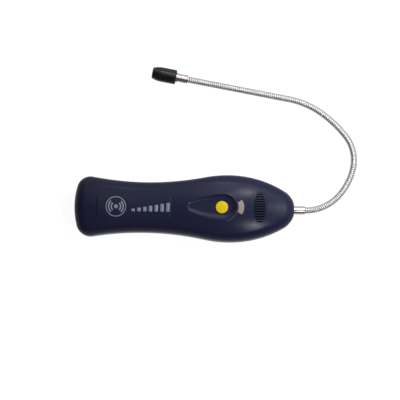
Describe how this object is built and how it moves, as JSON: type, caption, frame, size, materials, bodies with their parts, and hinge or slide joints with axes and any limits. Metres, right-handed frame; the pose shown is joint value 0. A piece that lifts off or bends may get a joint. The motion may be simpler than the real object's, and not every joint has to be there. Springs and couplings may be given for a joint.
{
  "type": "hydrogen leak detector",
  "caption": "Hand-held gas leak detector: waisted plastic body with a push button in a finger recess, sounder grille, and a bent flexible metal neck that ends in a hooded sensor",
  "frame": {"origin": "on the resting plane, on the flat back, under the middle of the body's length", "axes": "+X along the body from the handle's end to the neck's root, +Z out of the face, +Y towards the side that the neck is bent to"},
  "size_m": [0.2704, 0.1682, 0.041],
  "materials": {
    "navy_plastic": "satin",
    "button_yellow": "satin",
    "lens_frosted": "satin",
    "hood_black": "gloss",
    "bright_metal": "polished",
    "neck_steel": "satin",
    "fastener_steel": "satin",
    "board_green": "satin",
    "chip_black": "matte",
    "sounder_black": "satin",
    "switch_black": "matte",
    "plunger_white": "satin",
    "capacitor_can": "satin",
    "chip_ceramic": "matte",
    "connector_cream": "satin",
    "led_white": "satin",
    "tray_grey": "matte",
    "cell_jacket": "satin",
    "contact_metal": "satin",
    "lead_rubber": "matte",
    "cable_rubber": "matte",
    "holder_plastic": "satin",
    "sensor_can": "satin"
  },
  "bodies": {
    "housing": {"upper_housing": "navy_plastic", "lower_housing": "navy_plastic", "housing_screws": "fastener_steel", "indicator_lens": "lens_frosted", "circuit_board": "board_green", "board_screws": "fastener_steel", "button_switch": "switch_black", "status_leds": "led_white", "sounder": "sounder_black", "microcontroller": "chip_black", "capacitors": "capacitor_can", "inductor": "chip_black", "chip_components": "chip_ceramic", "battery_connector": "connector_cream", "sensor_connector": "connector_cream", "battery_tray": "tray_grey", "contact_plates": "contact_metal", "contact_springs": "contact_metal", "battery_leads": "lead_rubber", "cell_1": "cell_jacket", "cell_2": "cell_jacket", "cell_3": "cell_jacket", "cell_4": "cell_jacket", "neck_base_ferrule": "bright_metal", "neck_washer": "fastener_steel", "neck_lock_nut": "fastener_steel", "sensor_cable": "cable_rubber", "neck_section_1": "neck_steel"},
    "button": {"power_button": "button_yellow", "switch_plunger": "plunger_white"},
    "cover": {"battery_cover": "navy_plastic"},
    "neck_2": {"neck_section_2": "neck_steel"},
    "neck_3": {"neck_section_3": "neck_steel"},
    "neck_4": {"neck_section_4": "neck_steel"},
    "neck_5": {"neck_section_5": "neck_steel"},
    "neck_6": {"neck_section_6": "neck_steel"},
    "neck_7": {"neck_section_7": "neck_steel"},
    "neck_8": {"neck_section_8": "neck_steel", "neck_tip_ferrule": "bright_metal", "sensor_holder": "holder_plastic", "sensor": "sensor_can"},
    "hood": {"sensor_hood": "hood_black"}
  },
  "joints": [
    {"name": "neck_swing_1", "type": "hinge", "parent": "housing", "child": "neck_2", "pos_m": [0.14498, 0.01242, 0.0175], "axis": [0, 0, 1], "range_deg": [-35, 15], "deforming": ["sensor_cable"]},
    {"name": "neck_lift_2", "type": "hinge", "parent": "neck_2", "child": "neck_3", "pos_m": [0.16065, 0.04128, 0.0175], "axis": [0.9781, -0.2079, 0], "range_deg": [0, 30], "deforming": ["sensor_cable"]},
    {"name": "neck_swing_3", "type": "hinge", "parent": "neck_3", "child": "neck_4", "pos_m": [0.15313, 0.0726, 0.0175], "axis": [0, 0, 1], "range_deg": [-35, 15], "deforming": ["sensor_cable"]},
    {"name": "neck_lift_4", "type": "hinge", "parent": "neck_4", "child": "neck_5", "pos_m": [0.12867, 0.09502, 0.0175], "axis": [0.5592, 0.829, 0], "range_deg": [0, 30], "deforming": ["sensor_cable"]},
    {"name": "neck_swing_5", "type": "hinge", "parent": "neck_5", "child": "neck_6", "pos_m": [0.09802, 0.1074, 0.0175], "axis": [0, 0, 1], "range_deg": [-30, 15], "deforming": ["sensor_cable"]},
    {"name": "neck_lift_6", "type": "hinge", "parent": "neck_6", "child": "neck_7", "pos_m": [0.06523, 0.11318, 0.0175], "axis": [0.1736, 0.9848, 0], "range_deg": [0, 30], "deforming": ["sensor_cable"]},
    {"name": "neck_swing_7", "type": "hinge", "parent": "neck_7", "child": "neck_8", "pos_m": [0.03243, 0.11896, 0.0175], "axis": [0, 0, 1], "range_deg": [-30, 30], "deforming": ["sensor_cable"]},
    {"name": "hood_slide", "type": "slide", "parent": "neck_8", "child": "hood", "axis": [-0.9848, 0.1736, 0], "range_m": [0, 0.025]},
    {"name": "button_press", "type": "slide", "parent": "housing", "child": "button", "axis": [0, 0, -1], "range_m": [0, 0.0008], "stiffness_N_per_m": 1200, "springref_m": -0.0003},
    {"name": "cover_slide", "type": "slide", "parent": "housing", "child": "cover", "axis": [-1, 0, 0], "range_m": [0, 0.112]}
  ]
}
